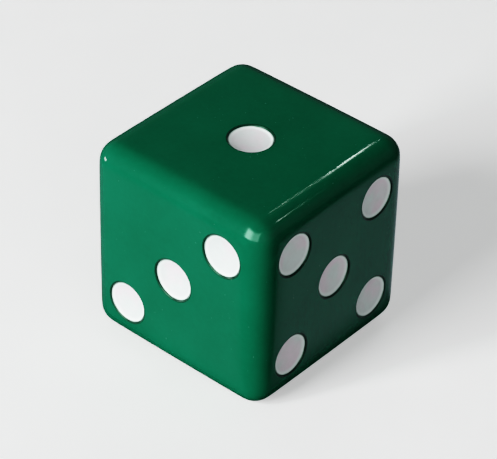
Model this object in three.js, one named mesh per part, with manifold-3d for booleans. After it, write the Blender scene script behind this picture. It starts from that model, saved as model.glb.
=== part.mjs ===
// A casino die: one solid moulded cube with round edges, twenty-one shallow round cups
// sunk into its six faces, and a dished white inlay bonded into each cup.
// Millimetres, +Z up. The origin is the middle of the cube. The one faces +Z, the five +X
// and the four +Y, and opposite faces add up to seven.

import * as THREE from "three";
import { RoundedBoxGeometry } from "three/addons/geometries/RoundedBoxGeometry.js";
import { mergeVertices } from "three/addons/utils/BufferGeometryUtils.js";
import Module from "manifold-3d";

// Driving dimensions.
const side = 16; // across two opposite faces
const edgeRadius = 1.75; // rounding of the twelve edges and the eight corners
const edgeLand = 0.21; // flat left between an outer cup and the edge rounding
const pipLand = 1.21; // flat left between neighbouring cups in a row of three
const cupWall = 0.2; // straight wall of a cup, down from its mouth
const cupBowl = 0.45; // depth of a cup's round bottom, below the straight wall
const inlayRecess = 0.09; // from the face down to an inlay's rim
const inlayDish = 0.26; // from an inlay's rim down to its middle
const bondGap = 0.02; // all round an inlay, between it and its cup

// How finely round shapes are cut into facets.
const edgeSteps = 6; // from a flat to the middle of an edge
const facetsAround = 28; // round a cup and its inlay
const bowlSteps = 3; // from the axis to the rim of a cup's bottom
const dishSteps = 2; // from the axis to the rim of an inlay's top

// Sizes that follow from the driving dimensions.
const flatHalf = side / 2 - edgeRadius; // from the middle of a face to the edge rounding
const cupRadius = (flatHalf - edgeLand - pipLand) / 3; // three cups fill a row
const pipPitch = flatHalf - edgeLand - cupRadius; // from one row of cups to the next
const inlayRadius = cupRadius - bondGap;
const cutterHeadroom = 1; // how far a cup's cutter stands above the face

const dieMaterial = new THREE.MeshStandardMaterial({
  name: "green_plastic",
  color: 0x0b6b45,
  roughness: 0.22,
  metalness: 0,
});
const pipMaterial = new THREE.MeshStandardMaterial({
  name: "white_inlay",
  color: 0xe9ece6,
  roughness: 0.5,
  metalness: 0,
});

// Each face's own axes: across and up are as seen from outside, with the face upright.
const faces = {
  one: { across: [1, 0, 0], up: [0, 1, 0] },
  two: { across: [0, -1, 0], up: [0, 0, 1] },
  three: { across: [1, 0, 0], up: [0, 0, 1] },
  four: { across: [-1, 0, 0], up: [0, 0, 1] },
  five: { across: [0, 1, 0], up: [0, 0, 1] },
  six: { across: [-1, 0, 0], up: [0, 1, 0] },
};

// Places on a face, as columns and rows of the pip grid.
const centre = { centre: [0, 0] };
const risingEnds = { upper: [1, 1], lower: [-1, -1] };
const corners = {
  upper_left: [-1, 1],
  upper_right: [1, 1],
  lower_left: [-1, -1],
  lower_right: [1, -1],
};
const middles = { middle_left: [-1, 0], middle_right: [1, 0] };
const layouts = {
  one: centre,
  two: risingEnds,
  three: { ...risingEnds, ...centre },
  four: corners,
  five: { ...corners, ...centre },
  six: { ...corners, ...middles },
};

const wasm = await Module();
wasm.setup();

function toSolid(geometry) {
  const bare = geometry.clone();
  bare.deleteAttribute("normal");
  bare.deleteAttribute("uv");
  const merged = mergeVertices(bare);
  return new wasm.Manifold(
    new wasm.Mesh({
      numProp: 3,
      vertProperties: new Float32Array(merged.attributes.position.array),
      triVerts: new Uint32Array(merged.index.array),
    }),
  );
}

function toGeometry(solid) {
  const mesh = solid.getMesh();
  const geometry = new THREE.BufferGeometry();
  geometry.setAttribute("position", new THREE.BufferAttribute(mesh.vertProperties, 3));
  geometry.setIndex(new THREE.BufferAttribute(mesh.triVerts, 1));
  geometry.computeVertexNormals();
  return geometry;
}

// Profile points of a round hollow, from its lowest point on the axis out to its rim.
function hollow(rimRadius, rimHeight, depth, steps) {
  const ballRadius = (rimRadius ** 2 + depth ** 2) / (2 * depth);
  const halfAngle = Math.asin(rimRadius / ballRadius);
  const ballHeight = rimHeight - depth + ballRadius;
  return Array.from({ length: steps + 1 }, (_, step) => {
    const angle = (halfAngle * step) / steps;
    const radius = step === 0 ? 0 : ballRadius * Math.sin(angle);
    return new THREE.Vector2(radius, ballHeight - ballRadius * Math.cos(angle));
  });
}

// Turns a profile about the axis that stands out of a face, along +Z.
function turned(profile) {
  return new THREE.LatheGeometry(profile, facetsAround).rotateX(Math.PI / 2);
}

// The tool that cuts one cup, with the face at height 0.
function cupCutter() {
  return turned([
    ...hollow(cupRadius, -cupWall, cupBowl, bowlSteps),
    new THREE.Vector2(cupRadius, cutterHeadroom),
    new THREE.Vector2(0, cutterHeadroom),
  ]);
}

// One inlay: its underside follows the cup, and its top is dished below the face.
function inlay() {
  const underside = hollow(inlayRadius, bondGap - cupWall, cupBowl, bowlSteps);
  const top = hollow(inlayRadius, -inlayRecess, inlayDish, dishSteps);
  return turned([...underside, ...top.reverse()]);
}

// A group that lies on one face: X across, Y up and Z out of the die.
function faceFrame({ across, up }) {
  const x = new THREE.Vector3(...across);
  const y = new THREE.Vector3(...up);
  const outward = new THREE.Vector3().crossVectors(x, y);
  const frame = new THREE.Group();
  frame.setRotationFromMatrix(new THREE.Matrix4().makeBasis(x, y, outward));
  frame.position.copy(outward).multiplyScalar(side / 2);
  return frame;
}

const die = new THREE.Group();
die.name = "casino_die";

const pips = [];
const inlayGeometry = inlay();
for (const [face, layout] of Object.entries(layouts)) {
  const frame = faceFrame(faces[face]);
  for (const [place, [column, row]] of Object.entries(layout)) {
    const pip = new THREE.Mesh(inlayGeometry, pipMaterial);
    pip.name = `${face}_${place}_pip`;
    pip.position.set(column * pipPitch, row * pipPitch, 0);
    frame.add(pip);
    pips.push(pip);
  }
  die.add(frame);
}
die.updateMatrixWorld(true);

// The body is the rounded cube, less one cup where each inlay sits.
function dieBody() {
  const cube = new RoundedBoxGeometry(side, side, side, edgeSteps, edgeRadius);
  const cutter = cupCutter();
  const cutCube = pips.reduce((solid, pip) => {
    const cup = toSolid(cutter.clone().applyMatrix4(pip.matrixWorld));
    return solid.subtract(cup);
  }, toSolid(cube));
  const body = new THREE.Mesh(toGeometry(cutCube), dieMaterial);
  body.name = "die_body";
  return body;
}
die.add(dieBody());

export default die;
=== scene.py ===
"""A casino die in Blender: a moulded green body and one pool of white enamel in each cup,
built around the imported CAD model. Metres, in the CAD model's own frame, +Z up."""
import math

import bpy
import numpy as np
from mathutils import Matrix, Vector


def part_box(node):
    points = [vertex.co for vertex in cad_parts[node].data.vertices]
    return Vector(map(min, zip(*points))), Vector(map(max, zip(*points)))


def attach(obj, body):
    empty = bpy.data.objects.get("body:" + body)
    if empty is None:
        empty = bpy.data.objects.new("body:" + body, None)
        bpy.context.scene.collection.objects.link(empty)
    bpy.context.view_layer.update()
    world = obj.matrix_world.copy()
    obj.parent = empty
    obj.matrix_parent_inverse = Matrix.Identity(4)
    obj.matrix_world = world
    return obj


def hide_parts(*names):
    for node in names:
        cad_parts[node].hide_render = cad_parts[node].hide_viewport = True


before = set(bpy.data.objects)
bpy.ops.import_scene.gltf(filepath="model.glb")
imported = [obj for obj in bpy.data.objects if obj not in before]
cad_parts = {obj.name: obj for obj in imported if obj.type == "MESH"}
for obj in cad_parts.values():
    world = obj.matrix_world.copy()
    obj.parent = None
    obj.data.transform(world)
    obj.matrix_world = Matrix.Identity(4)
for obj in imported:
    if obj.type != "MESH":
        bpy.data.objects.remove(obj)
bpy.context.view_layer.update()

MM = 0.001

# Sizes of the die that the CAD model gives.
low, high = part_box("die_body")
HALF = high.z  # half a side
PIP_NODES = sorted(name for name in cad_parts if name.endswith("_pip"))
body_points = np.array([v.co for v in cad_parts["die_body"].data.vertices])
on_top = body_points[body_points[:, 2] > HALF - 0.001 * MM]
FLAT = float(np.abs(on_top[:, :2]).max())  # from a face's middle to the edge rounding
EDGE_RADIUS = HALF - FLAT

# Sizes of the finer shapes, added here.
BLEND = 0.22 * MM  # how softly a flat turns into the edge rounding
BOND_GAP = 0.02 * MM  # between an inlay and its cup
CUP_WALL = 0.2 * MM  # straight wall of a cup, below the face
LIP_RADIUS = 0.12 * MM  # rounded mouth of a cup
COLLAR = 0.05 * MM  # ring of the face round a lip, where the painted shade thins out
MENISCUS_HEIGHT = 0.04 * MM  # how far the enamel climbs its cup's wall
MENISCUS_WIDTH = 0.1 * MM
BEAD_RADIUS = 0.015 * MM  # rounded rim of an inlay
DISH = 0.25 * MM  # from an inlay's rim down to its middle, below the meniscus
FILL_VARIES = 0.012 * MM  # how unevenly the cups were filled
LIP_SHADE = 0.6  # share of painted shade at the start of a cup's lip; it is 1 from the wall down
SEED = 21  # of the chances that vary the inlays

# How the meshes are cut.
CELL_STEPS = 16  # along each side of one of the nine cells of a face
AROUND = 4 * CELL_STEPS  # round a cup or an inlay
ARC_STEPS = 12  # across an edge rounding
LAND_STEPS = 6  # from a cell's outline in to a cup's collar
LIP_STEPS = 5
BOWL_STEPS = 8
TOP_STEPS = 20
BEAD_STEPS = 3
RIM_CROWDING = 1.8  # above 1, the rows of an inlay's top crowd towards its rim
START_ANGLE = math.radians(225)  # a turned grid starts towards its cell's lower left corner
KNEE_TRIES = 60  # halvings that find the soft cube's knee
SETTLE_TRIES = 8  # steps that bring a point on to the soft cube

# Each face's axes, seen from outside: across, then up.
FACES = [
    ((1, 0, 0), (0, 1, 0)),
    ((-1, 0, 0), (0, 1, 0)),
    ((1, 0, 0), (0, 0, 1)),
    ((-1, 0, 0), (0, 0, 1)),
    ((0, 1, 0), (0, 0, 1)),
    ((0, -1, 0), (0, 0, 1)),
]


def face_matrix(across, up):
    """From a face's own axes (across, up, out of the face, from its middle) to the die's."""
    x, y = np.array(across, float), np.array(up, float)
    out = np.cross(x, y)
    return np.column_stack([x, y, out]), out * HALF


class Shell:
    """A closed surface gathered from grids of points that share their border points."""

    WELD = 0.1e-6  # points nearer than about this are one point
    OFFSET = 0.123  # keeps round numbers away from a rounding boundary

    def __init__(self):
        self.points, self.normals, self.marks, self.faces = [], [], [], []
        self.count = 0

    def grid(self, points, normals, marks=0.0, turn=np.eye(3), move=np.zeros(3), closed=False):
        """Adds the quads of a rows x columns grid; closed joins the last column to the first."""
        rows, columns = points.shape[:2]
        index = self.count + np.arange(rows * columns).reshape(rows, columns)
        if closed:
            index = np.hstack([index, index[:, :1]])
        quads = np.stack([index[:-1, :-1], index[:-1, 1:], index[1:, 1:], index[1:, :-1]], -1)
        self.points.append(points.reshape(-1, 3) @ turn.T + move)
        self.normals.append(normals.reshape(-1, 3) @ turn.T)
        self.marks.append(np.broadcast_to(marks, (rows, columns)).reshape(-1))
        self.faces.append(quads.reshape(-1, 4))
        self.count += rows * columns

    def object(self, name, mark_name, own_normals):
        """Welds the grids into one mesh, with its marks as a point attribute."""
        points, marks = np.vstack(self.points), np.concatenate(self.marks)
        keys = np.floor(points / self.WELD + self.OFFSET).astype(np.int64)
        _, first, index = np.unique(keys, axis=0, return_index=True, return_inverse=True)
        index = index.reshape(-1)
        faces = []
        for face in index[np.vstack(self.faces)]:
            ring = [v for i, v in enumerate(face) if v != face[i - 1]]
            if len(ring) > 2:
                faces.append(ring)
        mesh = bpy.data.meshes.new(name)
        mesh.from_pydata(points[first], [], faces)
        mesh.attributes.new(mark_name, "FLOAT", "POINT").data.foreach_set("value", marks[first])
        mesh.shade_smooth()
        if own_normals:
            summed = np.zeros((len(first), 3))
            np.add.at(summed, index, np.vstack(self.normals))
            summed /= np.linalg.norm(summed, axis=1, keepdims=True)
            mesh.normals_split_custom_set_from_vertices(summed)
        made = bpy.data.objects.new(name, mesh)
        bpy.context.scene.collection.objects.link(made)
        return made


# ---------------------------------------------------------------- the moulded body


class SoftCube:
    """A rounded cube whose flats turn gently into its edges, as a surface where turn(x)
    + turn(y) + turn(z) is constant. It keeps the CAD model's side and edge height."""

    def __init__(self):
        shoulder = FLAT + EDGE_RADIUS * math.sqrt(0.5)  # the middle of an edge
        inner, outer = FLAT, HALF
        for _ in range(KNEE_TRIES):
            self.knee = (inner + outer) / 2
            self.level = self.turn(HALF) + 2 * self.turn(0)
            outside = 2 * self.turn(shoulder) + self.turn(0) > self.level
            inner, outer = (self.knee, outer) if outside else (inner, self.knee)

    def turn(self, along):
        reach = np.abs(along) - self.knee
        root = np.sqrt(reach**2 + BLEND**2)
        return (reach**2 + reach * root + BLEND**2 * np.arcsinh(reach / BLEND)) / 4

    def tilt(self, points):
        """The surface's direction at points, not brought to length one."""
        reach = np.abs(points) - self.knee
        return np.sign(points) * (reach + np.sqrt(reach**2 + BLEND**2)) / 2

    def settle(self, points, along):
        """Moves points along given directions on to the surface."""
        moved = points.copy()
        for _ in range(SETTLE_TRIES):
            excess = self.turn(moved).sum(-1) - self.level
            slope = (self.tilt(moved) * along).sum(-1)
            moved -= along * (excess / slope)[..., None]
        return moved


soft = SoftCube()


def unit(vectors):
    return vectors / np.linalg.norm(vectors, axis=-1, keepdims=True)


def turned(profile, slopes, centre):
    """A grid turned about a cup's axis from (radius, height) points and their normals."""
    angles = START_ANGLE + np.arange(AROUND) * (2 * math.pi / AROUND)
    cos, sin = np.cos(angles), np.sin(angles)

    def spin(pairs):
        radius, height = pairs[:, :1], pairs[:, 1:]
        level = np.broadcast_to(height, (len(pairs), AROUND))
        return np.stack([radius * cos, radius * sin, level], -1)

    return spin(profile) + [centre[0], centre[1], 0], spin(slopes)


def ball_arc(rim_radius, rim_height, depth, steps):
    """Points and normals of a round hollow, from its rim in to its lowest point."""
    ball = (rim_radius**2 + depth**2) / (2 * depth)
    angles = np.linspace(math.asin(rim_radius / ball), 0, steps + 1)
    heights = rim_height - depth + ball * (1 - np.cos(angles))
    points = np.column_stack([ball * np.sin(angles), heights])
    normals = np.column_stack([-np.sin(angles), np.cos(angles)])
    return points, normals


def cup_profile(radius, depth):
    """From the collar over the lip, down the wall and in to the bottom's middle, with the
    share of painted shade at each point."""
    lip = np.linspace(0, math.pi / 2, LIP_STEPS + 1)
    collar = np.array([[radius + LIP_RADIUS + COLLAR, 0]])
    lip_reach = radius + LIP_RADIUS * (1 - np.sin(lip))
    points = np.column_stack([lip_reach, LIP_RADIUS * (np.cos(lip) - 1)])
    normals = np.column_stack([-np.sin(lip), np.cos(lip)])
    bowl, bowl_normals = ball_arc(radius, -CUP_WALL, depth - CUP_WALL, BOWL_STEPS)
    cup_shade = np.concatenate([[0], LIP_SHADE + (1 - LIP_SHADE) * np.sin(lip), np.ones(len(bowl))])
    all_normals = np.vstack([[[0, 1]], normals, bowl_normals])
    return np.vstack([collar, points, bowl]), all_normals, cup_shade


def outline(u, v):
    """Points round a rectangle, as many on each side, starting from its lower left corner."""
    share = np.arange(CELL_STEPS) / CELL_STEPS
    still = np.ones(CELL_STEPS)
    along_u, back_u = u[0] + (u[1] - u[0]) * share, u[1] + (u[0] - u[1]) * share
    along_v, back_v = v[0] + (v[1] - v[0]) * share, v[1] + (v[0] - v[1]) * share
    sides = [
        (along_u, v[0] * still),
        (u[1] * still, along_v),
        (back_u, v[1] * still),
        (u[0] * still, back_v),
    ]
    return np.vstack([np.column_stack([a, b, 0 * still]) for a, b in sides])


def on_face(points, slopes=None):
    """Lowers a face's points to the soft cube, and tilts their normals with it."""
    top = points * [1, 1, 0] + [0, 0, HALF]
    upright = np.broadcast_to([0.0, 0.0, 1.0], top.shape)
    settled = soft.settle(top, upright)
    lowered = points + (settled - top)
    lean = soft.tilt(settled)
    lean = lean / lean[..., 2:]
    if slopes is None:
        return lowered, unit(lean)
    return lowered, unit(slopes + slopes[..., 2:] * lean * [1, 1, 0])


def build_body(cups, radius, depth):
    """The rounded cube: nine cells on each face, twelve edges and eight corners."""
    pitch = max(abs(c) for centres in cups for c in centres[0])
    cuts = [-FLAT, -pitch / 2, pitch / 2, FLAT]
    lines = [np.linspace(a, b, CELL_STEPS + 1) for a, b in zip(cuts, cuts[1:])]
    profile, slopes, cup_shade = cup_profile(radius, depth)
    shell = Shell()
    for (across, up), centres in zip(FACES, cups):
        turn, move = face_matrix(across, up)
        for column, row in np.ndindex(3, 3):
            u, v = cuts[column : column + 2], cuts[row : row + 2]
            inside = [c for c in centres if u[0] < c[0] < u[1] and v[0] < c[1] < v[1]]
            if not inside:
                grid = np.stack(np.meshgrid(lines[column], lines[row], indexing="xy"), -1)
                grid = np.concatenate([grid, 0 * grid[..., :1]], -1)
                shell.grid(*on_face(grid), 0.0, turn, move)
                continue
            cup, cup_normals = turned(profile, slopes, inside[0])
            share = np.linspace(0, 1, LAND_STEPS + 1)[:, None, None]
            land = outline(u, v) * (1 - share) + cup[0] * share
            shell.grid(*on_face(land), 0.0, turn, move, closed=True)
            shell.grid(*on_face(cup, cup_normals), cup_shade[:, None], turn, move, closed=True)
    along = np.concatenate([lines[0], lines[1][1:], lines[2][1:]])
    arc = np.linspace(0, math.pi / 2, ARC_STEPS + 1)
    quarter = np.tan(np.linspace(0, math.pi / 4, ARC_STEPS // 2 + 1))
    axes = np.eye(3)

    def rounding(middle, out, flip):
        points = soft.settle(middle + EDGE_RADIUS * out, out)
        normals = unit(soft.tilt(points))
        step = -1 if flip else 1
        shell.grid(points[:, ::step], normals[:, ::step])

    for axis in range(3):
        a, b = axes[(axis + 1) % 3], axes[(axis + 2) % 3]
        for sa, sb in ((-1, -1), (-1, 1), (1, -1), (1, 1)):
            out = np.outer(np.cos(arc), sa * a) + np.outer(np.sin(arc), sb * b)
            middle = FLAT * (sa * a + sb * b) + along[:, None, None] * axes[axis]
            rounding(middle, np.broadcast_to(out, (len(along),) + out.shape), sa * sb < 0)
    for corner in np.ndindex(2, 2, 2):
        signs = 2 * np.array(corner) - 1
        for axis in range(3):
            out = np.ones((len(quarter), len(quarter), 3))
            out[..., (axis + 1) % 3] = quarter[None, :]
            out[..., (axis + 2) % 3] = quarter[:, None]
            out = unit(out) * signs
            rounding(FLAT * signs, out, signs.prod() < 0)
    return shell.object("moulded_body", "cup_shade", own_normals=True)


# ---------------------------------------------------------------- the enamel inlays


def inlay_profile(radius, top, bottom, dish):
    """From the middle of the top, out to the rim, down the side and back in underneath."""
    share = 1 - (1 - np.linspace(0, 1, TOP_STEPS + 1)) ** RIM_CROWDING
    r = share * (radius - BEAD_RADIUS)
    climb = MENISCUS_HEIGHT * np.exp((r - r[-1]) / MENISCUS_WIDTH)
    h = top - MENISCUS_HEIGHT - dish * (1 - share**2) + climb
    bead = np.linspace(0, math.pi / 2, BEAD_STEPS + 1)[1:]
    bead_r = radius - BEAD_RADIUS * (1 - np.sin(bead))
    bead_h = top - BEAD_RADIUS * (1 - np.cos(bead))
    wall_foot = BOND_GAP - CUP_WALL
    under, _ = ball_arc(radius, wall_foot, wall_foot - bottom, BOWL_STEPS)
    return np.vstack([np.column_stack([r, h]), np.column_stack([bead_r, bead_h]), under])


def build_inlay(node, turn, move, centre, chance):
    """One pool of enamel, filled a little differently from the others."""
    corners = (np.array(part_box(node)) - move) @ turn
    radius = abs(corners[1, 0] - corners[0, 0]) / 2
    top, bottom = corners[:, 2].max(), corners[:, 2].min()
    profile = inlay_profile(radius, top, bottom, DISH + chance.uniform(-1, 1) * FILL_VARIES)
    points, _ = turned(profile, profile, (0, 0))
    reach = np.linalg.norm(points[..., :2], axis=-1) / radius
    around = np.arctan2(points[..., 1], points[..., 0])
    uneven = np.full(reach.shape, -FILL_VARIES / 2)
    for waves in (1, 2, 3, 5):
        phase = chance.uniform(0, 2 * math.pi)
        height = chance.uniform(0.3, 1) * FILL_VARIES / waves
        uneven += height * reach**2 * np.cos(waves * around + phase)
    top_rows = TOP_STEPS + 1 + BEAD_STEPS  # the underside below them keeps the cup's shape
    points[:top_rows, :, 2] += uneven[:top_rows]
    beyond_top = np.ones(len(profile) - TOP_STEPS - 1)
    marks = np.concatenate([profile[: TOP_STEPS + 1, 0] / radius, beyond_top])
    points = points[::-1] + [centre[0], centre[1], 0]
    shell = Shell()
    shell.grid(points, points, marks[::-1, None], turn, move, closed=True)
    return shell.object(node.replace("_pip", "_enamel"), "rim", own_normals=False)


def cups_of_face(across, up):
    """The inlay nodes on one face, with the place of each in the face's own axes."""
    turn, move = face_matrix(across, up)
    found = []
    for node in PIP_NODES:
        middle = (np.array(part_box(node)).mean(0) - move) @ turn
        if abs(middle[2]) < HALF / 4:  # it lies at this face, not at another
            found.append((node, middle[:2]))
    return found


chance = np.random.default_rng(SEED)
on_faces = [cups_of_face(*axes) for axes in FACES]
first_low, first_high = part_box("one_centre_pip")
cup_radius = (first_high.x - first_low.x) / 2 + BOND_GAP
cup_depth = HALF - first_low.z + BOND_GAP
body = build_body([[place for _, place in found] for found in on_faces], cup_radius, cup_depth)
inlays = {}
for axes, found in zip(FACES, on_faces):
    turn, move = face_matrix(*axes)
    for node, place in found:
        inlays[node] = build_inlay(node, turn, move, place, chance)

# ---------------------------------------------------------------- materials


class Recipe:
    """Adds nodes to a material's or a world's tree. An input's value is a plain one, or
    another node's output."""

    def __init__(self, owner):
        owner.use_nodes = True
        self.tree = owner.node_tree

    def add(self, kind, inputs=None, output=0, **settings):
        node = self.tree.nodes.new("ShaderNode" + kind)
        for name, value in settings.items():
            setattr(node, name, value)
        for name, value in (inputs or {}).items():
            self.set(node, name, value)
        return node.outputs[output]

    def set(self, node, name, value):
        self.fill(node.inputs[name], value)

    def fill(self, socket, value):
        if isinstance(value, bpy.types.NodeSocket):
            self.tree.links.new(value, socket)
        else:
            socket.default_value = value

    def place(self):
        return self.add("TexCoord", output="Object")

    def ray(self, kind):
        """1 where the surface is met by a ray of a kind, Camera or Glossy, else 0."""
        return self.add("LightPath", output=f"Is {kind} Ray")

    def split(self, vector):
        """A vector's three parts."""
        node = self.tree.nodes.new("ShaderNodeSeparateXYZ")
        self.set(node, "Vector", vector)
        return [node.outputs[axis] for axis in "XYZ"]

    def noise(self, size, detail=2.0, roughness=0.5, vector=None):
        """Noise from 0 to 1, with features of about a given size."""
        inputs = {"Vector": vector or self.place(), "Scale": 1 / size}
        inputs.update({"Detail": detail, "Roughness": roughness})
        return self.add("TexNoise", inputs)

    def spread(self, value, start, end, first=0.0, last=1.0, smooth=False):
        """A value from start to end becomes one from first to last, and stays within them."""
        inputs = {0: value, 1: start, 2: end, 3: first, 4: last}
        return self.add("MapRange", inputs, interpolation_type="SMOOTHSTEP" if smooth else "LINEAR")

    def sum(self, *values):
        return self.chain("ADD", values)

    def times(self, *values):
        return self.chain("MULTIPLY", values)

    def chain(self, operation, values):
        total = values[0]
        for value in values[1:]:
            total = self.add("Math", {0: total, 1: value}, operation=operation)
        return total

    def blend(self, share, first, second):
        """Goes from the first colour to the second as share goes from 0 to 1."""
        inputs = {"Factor": share, "A": first, "B": second}
        node = self.tree.nodes.new("ShaderNodeMix")
        node.data_type = "RGBA"
        for name, value in inputs.items():
            self.fill(next(s for s in node.inputs if s.name == name and s.enabled), value)
        return next(s for s in node.outputs if s.enabled)

    def scratches(self, length, width, turn):
        """Fine straight lines, 1 on a line and 0 between, all in one direction."""
        squeeze = (1, length / width, 1)
        mapped = self.add("Mapping", {"Vector": self.place(), "Rotation": turn, "Scale": squeeze})
        lines = self.noise(length, 1.0, 0.4, mapped)
        return self.spread(lines, 0.655, 0.68)


DEEP_GREEN, GREEN = (0.0022, 0.070, 0.037, 1), (0.0034, 0.086, 0.0465, 1)
# Painted shade: the dark green that each cup's lip and inside are darkened to.
CUP_SHADE = (0.0008, 0.010, 0.006, 1)
DUST = (0.12, 0.26, 0.2, 1)
RIPPLE_HEIGHT = 0.004 * MM
HAIRLINE_DEPTH = 0.0003 * MM


def plastic():
    """Opaque moulded plastic, tumbled to a polish: a slow ripple, hairlines and dust, with painted
    shade round and inside each cup.
    """
    material = bpy.data.materials.new("green_plastic")
    recipe = Recipe(material)
    shader = recipe.tree.nodes["Principled BSDF"]
    shade = recipe.sum(recipe.noise(5 * MM, 3.0), recipe.times(recipe.noise(0.35 * MM, 2.0), 0.4))
    colour = recipe.blend(recipe.spread(shade, 0.4, 1.0), DEEP_GREEN, GREEN)
    # Painted shade: darker at each cup's lip and down inside it, where the cup's own shadow falls.
    cup_shade = recipe.add("Attribute", output="Fac", attribute_name="cup_shade")
    colour = recipe.blend(cup_shade, colour, CUP_SHADE)
    specks = recipe.spread(recipe.noise(0.18 * MM, 0.0), 0.86, 0.89)
    colour = recipe.blend(recipe.times(specks, 0.3), colour, DUST)
    hairlines = recipe.chain("MAXIMUM", [
        recipe.scratches(3.4 * MM, 0.03 * MM, (0.3, 0.5, 0.4)),
        recipe.scratches(2.6 * MM, 0.025 * MM, (1.2, 0.2, 1.9)),
        recipe.scratches(2.9 * MM, 0.025 * MM, (0.4, 1.4, 2.7)),
    ])
    polish = recipe.spread(recipe.noise(2.2 * MM, 4.0, 0.6), 0.3, 0.7, 0.035, 0.09)
    rough = recipe.sum(polish, recipe.times(hairlines, 0.04), recipe.times(cup_shade, 0.3))
    ripple = recipe.add("Bump", {"Height": recipe.noise(1.3 * MM, 1.0), "Distance": RIPPLE_HEIGHT})
    marks = recipe.sum(recipe.times(specks, 0.5), recipe.times(hairlines, -1.0))
    relief = recipe.add("Bump", {"Height": marks, "Distance": HAIRLINE_DEPTH, "Normal": ripple})
    recipe.set(shader, "Base Color", colour)
    recipe.set(shader, "Roughness", rough)
    recipe.set(shader, "Normal", relief)
    recipe.set(shader, "IOR", 1.5)
    return material


COOL_WHITE, PINK_WHITE = (0.68, 0.77, 0.76, 1), (0.81, 0.70, 0.78, 1)
CLOUD = (0.60, 0.62, 0.61, 1)
# Painted highlight: the white of each inlay's edge.
RIM_HIGHLIGHT = (0.86, 0.95, 0.93, 1)
# Painted shade: the dark green line at the very rim of each inlay.
RIM_SHADE = (0.10, 0.26, 0.19, 1)
PIT = (0.4, 0.42, 0.41, 1)
STIPPLE_HEIGHT = 0.006 * MM
PIT_DEPTH = 0.004 * MM


def enamel():
    """Satin white paint that dried in a cup: mottled, stippled and pitted, with a painted
    highlight that makes it whiter round the edge, and a thin dark green line of painted shade at
    the very rim."""
    material = bpy.data.materials.new("white_enamel")
    recipe = Recipe(material)
    shader = recipe.tree.nodes["Principled BSDF"]
    tone = recipe.spread(recipe.noise(2.4 * MM, 2.0), 0.42, 0.66, smooth=True)
    colour = recipe.blend(tone, COOL_WHITE, PINK_WHITE)
    clouds = recipe.spread(recipe.noise(0.5 * MM, 3.0, 0.6), 0.3, 0.75)
    colour = recipe.blend(recipe.times(clouds, 0.45), colour, CLOUD)
    rim = recipe.add("Attribute", output="Fac", attribute_name="rim")
    rim_highlight = recipe.spread(rim, 0.78, 0.97, smooth=True)  # painted highlight: whiter round the edge, where the meniscus catches light
    colour = recipe.blend(rim_highlight, colour, RIM_HIGHLIGHT)
    # Painted shade: a thin dark green line at the very rim, where the enamel meets its cup.
    rim_shade = recipe.spread(recipe.sum(rim, recipe.times(recipe.noise(0.4 * MM), 0.03)), 0.965, 1.015)
    colour = recipe.blend(rim_shade, colour, RIM_SHADE)
    pits = recipe.spread(recipe.noise(0.09 * MM, 1.0), 0.72, 0.8)
    colour = recipe.blend(recipe.times(pits, 0.35), colour, PIT)
    rough = recipe.spread(recipe.noise(0.8 * MM, 3.0), 0.3, 0.7, 0.34, 0.5)
    grain = recipe.noise(0.22 * MM, 3.0, 0.6)
    stipple = recipe.add("Bump", {"Height": grain, "Distance": STIPPLE_HEIGHT})
    sunk = recipe.times(pits, -1.0)
    relief = recipe.add("Bump", {"Height": sunk, "Distance": PIT_DEPTH, "Normal": stipple})
    recipe.set(shader, "Base Color", colour)
    recipe.set(shader, "Roughness", rough)
    recipe.set(shader, "Normal", relief)
    recipe.set(shader, "IOR", 1.48)
    return material


WHITE = (1, 1, 1, 1)
BACKDROP = 1.25  # how bright the camera sees the backdrop
FLOOR_GLOW = 0.35  # added to what the camera sees of the floor
PAPER, BRIGHT_PAPER = (0.89, 0.89, 0.89, 1), (0.92, 0.92, 0.92, 1)
FLOOR_TO_DIE = (0.42, 0.42, 0.42, 1)  # the floor's colour for the light it sends the die
# Painted reflection: the colour the floor glows with in the die's mirrorings.
FLOOR_PAINTED_REFLECTION = (0.7, 0.85, 0.92, 1)
NEARER, RIGHTWARD = (0.76, -0.65, 0), (0.65, 0.76, 0)  # over the floor, roughly


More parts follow.
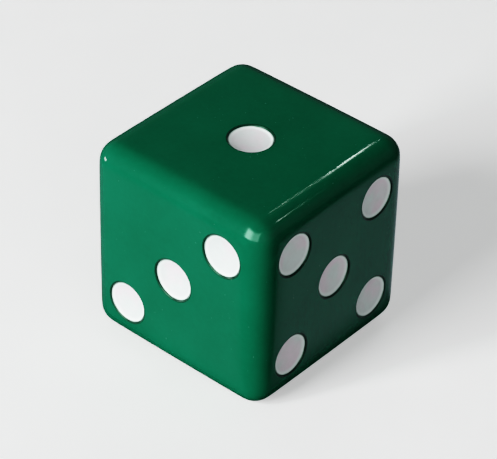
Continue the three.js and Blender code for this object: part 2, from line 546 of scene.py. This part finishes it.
def pale_floor():
    """A pale matt floor that runs into the backdrop. What the polished die mirrors of it is a
    painted reflection, a glow that only mirrorings see, darker in front, and it fades."""
    material = bpy.data.materials.new("pale_floor")
    recipe = Recipe(material)
    shader = recipe.tree.nodes["Principled BSDF"]
    is_camera = recipe.ray("Camera")
    paper = recipe.spread(recipe.noise(3 * MM, 4.0, 0.6), 0.3, 0.7)
    pale = recipe.blend(paper, PAPER, BRIGHT_PAPER)
    recipe.set(shader, "Base Color", recipe.blend(is_camera, FLOOR_TO_DIE, pale))
    recipe.set(shader, "Roughness", 0.95)
    recipe.set(shader, "Specular IOR Level", 0.1)
    recipe.set(shader, "Emission Color", WHITE)
    recipe.set(shader, "Emission Strength", recipe.times(is_camera, FLOOR_GLOW))
    place = recipe.place()
    distance = recipe.add("VectorMath", {0: place}, output="Value", operation="LENGTH")
    far = recipe.times(is_camera, recipe.spread(distance, 50 * MM, 280 * MM, smooth=True))
    beyond = recipe.add("Emission", {"Color": WHITE, "Strength": BACKDROP})
    seen = recipe.add("MixShader", {0: far, 1: shader.outputs[0], 2: beyond})

    def along(direction):
        inputs = {0: place, 1: direction}
        return recipe.add("VectorMath", inputs, output="Value", operation="DOT_PRODUCT")

    behind = recipe.spread(along(NEARER), 9 * MM, 12 * MM, 1, 0.0, smooth=True)
    rightward = recipe.spread(along(RIGHTWARD), -8 * MM, 8 * MM, 0.15, 0.3, smooth=True)
    sizes = recipe.add("VectorMath", {0: place}, operation="ABSOLUTE")
    beside = recipe.chain("MAXIMUM", recipe.split(sizes)[:2])
    clear = recipe.spread(beside, HALF, HALF + 3 * MM, smooth=True)  # the die's own shade
    near = recipe.spread(distance, 28 * MM, 60 * MM, 1, 0.15, smooth=True)
    strength = recipe.times(behind, rightward, near, clear)
    # Painted reflection: the floor glows with this only for mirrored rays. It is darker in front,
    # fades with distance and is dark by the die's foot.
    mirrored = recipe.add("Emission", {"Color": FLOOR_PAINTED_REFLECTION, "Strength": strength})
    mixed = recipe.add("MixShader", {0: recipe.ray("Glossy"), 1: seen, 2: mirrored})
    recipe.tree.links.new(mixed, recipe.tree.nodes["Material Output"].inputs["Surface"])
    return material


# ---------------------------------------------------------------- assembly


def dress(piece, material, slot, *nodes_replaced):
    piece.data.materials.append(material)
    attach(piece, "root")
    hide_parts(*nodes_replaced)


dress(body, plastic(), "green_plastic", "die_body")
white = enamel()
for node, inlay in inlays.items():
    dress(inlay, white, "white_inlay", node)

# ---------------------------------------------------------------- studio

FLOOR_REACH = 4.0
floor_mesh = bpy.data.meshes.new("studio_floor")
floor_signs = [(-1, -1), (1, -1), (1, 1), (-1, 1)]
floor_corners = [(x * FLOOR_REACH, y * FLOOR_REACH, -HALF) for x, y in floor_signs]
floor_mesh.from_pydata(floor_corners, [], [(0, 1, 2, 3)])
floor = bpy.data.objects.new("studio_floor", floor_mesh)
bpy.context.scene.collection.objects.link(floor)
floor_mesh.materials.append(pale_floor())


def toward(azimuth, elevation):
    """The direction at degrees round from the front, -Y, towards +X, and up from level."""
    a, e = math.radians(azimuth), math.radians(elevation)
    return Vector((math.sin(a) * math.cos(e), -math.cos(a) * math.cos(e), math.sin(e)))


def panel(
    name, azimuth, elevation, width, height, radiance,
    mirrored=True, distance=0.5, slope=0, colour=(1, 1, 1),
):
    """A soft lamp that faces the die. Its width and height are degrees seen from the die, its
    slope is how far its width tips up from level, and it may be left out of mirrorings."""
    wide, tall = (2 * distance * math.tan(math.radians(a) / 2) for a in (width, height))
    data = bpy.data.lights.new(name, "AREA")
    data.shape, data.size, data.size_y = "RECTANGLE", wide, tall
    data.energy, data.color = math.pi * wide * tall * radiance, colour
    out = toward(azimuth, elevation)
    level = Vector((0, 0, 1)).cross(out).normalized()
    facing = Matrix((level, out.cross(level), out)).transposed()
    made = bpy.data.objects.new(name, data)
    made.location = out * distance
    made.rotation_euler = (facing @ Matrix.Rotation(math.radians(slope), 3, "Z")).to_euler()
    made.visible_camera = False
    made.visible_glossy = mirrored
    bpy.context.scene.collection.objects.link(made)


GLINT = (0.72, 1, 0.84)  # the tint of the small bright highlights
SOFT_GLINT = (0.42, 1, 0.66, 1)  # the tint of the soft window's mirroring
WINDOW = 14.0  # how bright that window is
ROOM = (0.85, 0.95, 1, 1)  # the tint of the dim room round the die

# These light the die, and its polish does not mirror them.
panel("key", -13, 23.2, 26, 36, 22.5, mirrored=False)
panel("side_fill", 60, 28, 40, 40, 1.35, mirrored=False)
panel("back_fill", 208, 15, 40, 40, 1.6, mirrored=False)

# Its polish mirrors these, as small bright highlights.
panel("low_glint", -54, 1.0, 14, 9, 14.0, distance=0.16, colour=GLINT)
STREAK_STEPS = 7  # lamps in the streak's row, from its brightest to its faintest
STREAK_FIRST, STREAK_SPAN = -0.29, 0.15  # where the row starts and how far it runs, along X
STREAK_LINE = (-0.303, 0.652, -0.17)  # a point of the row's line in X and Y, and its slope
STREAK_RADIANCE, STREAK_FADE, STREAK_LEAST = 50.0, 2.8, 0.3
for step in range(STREAK_STEPS):
    share = step / (STREAK_STEPS - 1)
    l_x = STREAK_FIRST + STREAK_SPAN * share
    l_y = STREAK_LINE[1] + STREAK_LINE[2] * (l_x - STREAK_LINE[0])
    l_z = math.sqrt(1 - l_x**2 - l_y**2)
    azimuth = math.degrees(math.atan2(l_x, -l_y))
    elevation = math.degrees(math.asin(l_z))
    radiance = STREAK_RADIANCE * (1 - share) ** STREAK_FADE + STREAK_LEAST
    panel(f"streak_{step}", azimuth, elevation, 2.2, 0.8, radiance, slope=-14, colour=GLINT)
panel("streak_end", 142.8, 42.5, 1.3, 1.0, 26.0, slope=-20, colour=GLINT)

world = bpy.data.worlds.new("studio")
bpy.context.scene.world = world
recipe = Recipe(world)
toward_x, toward_y, rise = recipe.split(recipe.add("TexCoord", output="Generated"))
ring = recipe.spread(rise, 0.35, 0.7, 0.08, 0.004, smooth=True)
# What the polish mirrors of the key: a soft window, dimmer to the right.
window = recipe.times(
    recipe.spread(toward_x, -0.47, -0.36, 0, WINDOW, smooth=True),
    recipe.spread(toward_x, -0.25, 0.2, 1, 0.25, smooth=True),
    recipe.spread(toward_x, 0.56, 0.62, 1, 0, smooth=True),
    recipe.spread(rise, 0, 0.15, smooth=True),
    recipe.spread(rise, 0.6, 0.8, 1, 0, smooth=True),
    recipe.spread(toward_y, -0.3, -0.1, 1, 0, smooth=True),
)
glow = recipe.add("Background", {"Color": ROOM, "Strength": ring})
window = recipe.times(window, recipe.ray("Glossy"))
mirrored = recipe.add("Background", {"Color": SOFT_GLINT, "Strength": window})
both = recipe.add("AddShader", {0: glow, 1: mirrored})
backdrop = recipe.add("Background", {"Color": WHITE, "Strength": BACKDROP})
mixed = recipe.add("MixShader", {0: recipe.ray("Camera"), 1: both, 2: backdrop})
recipe.tree.links.new(mixed, recipe.tree.nodes["World Output"].inputs["Surface"])

# ---------------------------------------------------------------- camera

BRIGHTER_WHITE = (2.5, 4.6)  # a level, and what it is shown as: levels over 1 are stretched
LENS, SENSOR = 183, 36
CAMERA_AZIMUTH, CAMERA_ELEVATION, CAMERA_ROLL = 40.4, 37.3, 1.5  # degrees
CAMERA_DISTANCE = 11.3 * (2 * HALF)  # in sides of the die

camera_data = bpy.data.cameras.new("camera")
camera_data.lens, camera_data.sensor_width = LENS, SENSOR
camera_data.clip_start, camera_data.clip_end = 0.01, 20
camera = bpy.data.objects.new("camera", camera_data)
back = toward(CAMERA_AZIMUTH, CAMERA_ELEVATION)
roll = Matrix.Rotation(math.radians(CAMERA_ROLL), 3, "Z")
camera.location = back * CAMERA_DISTANCE
camera.rotation_euler = ((-back).to_track_quat("-Z", "Y").to_matrix() @ roll).to_euler()
bpy.context.scene.collection.objects.link(camera)
bpy.context.scene.camera = camera
view = bpy.context.scene.view_settings
view.view_transform, view.look = "Filmic", "High Contrast"
view.use_curve_mapping = True
view.curve_mapping.use_clip = False
view.curve_mapping.extend = "EXTRAPOLATED"
brightness = view.curve_mapping.curves[3].points  # of all three colours together
brightness.new(*BRIGHTER_WHITE)
for point in brightness:
    point.handle_type = "VECTOR"
view.curve_mapping.update()
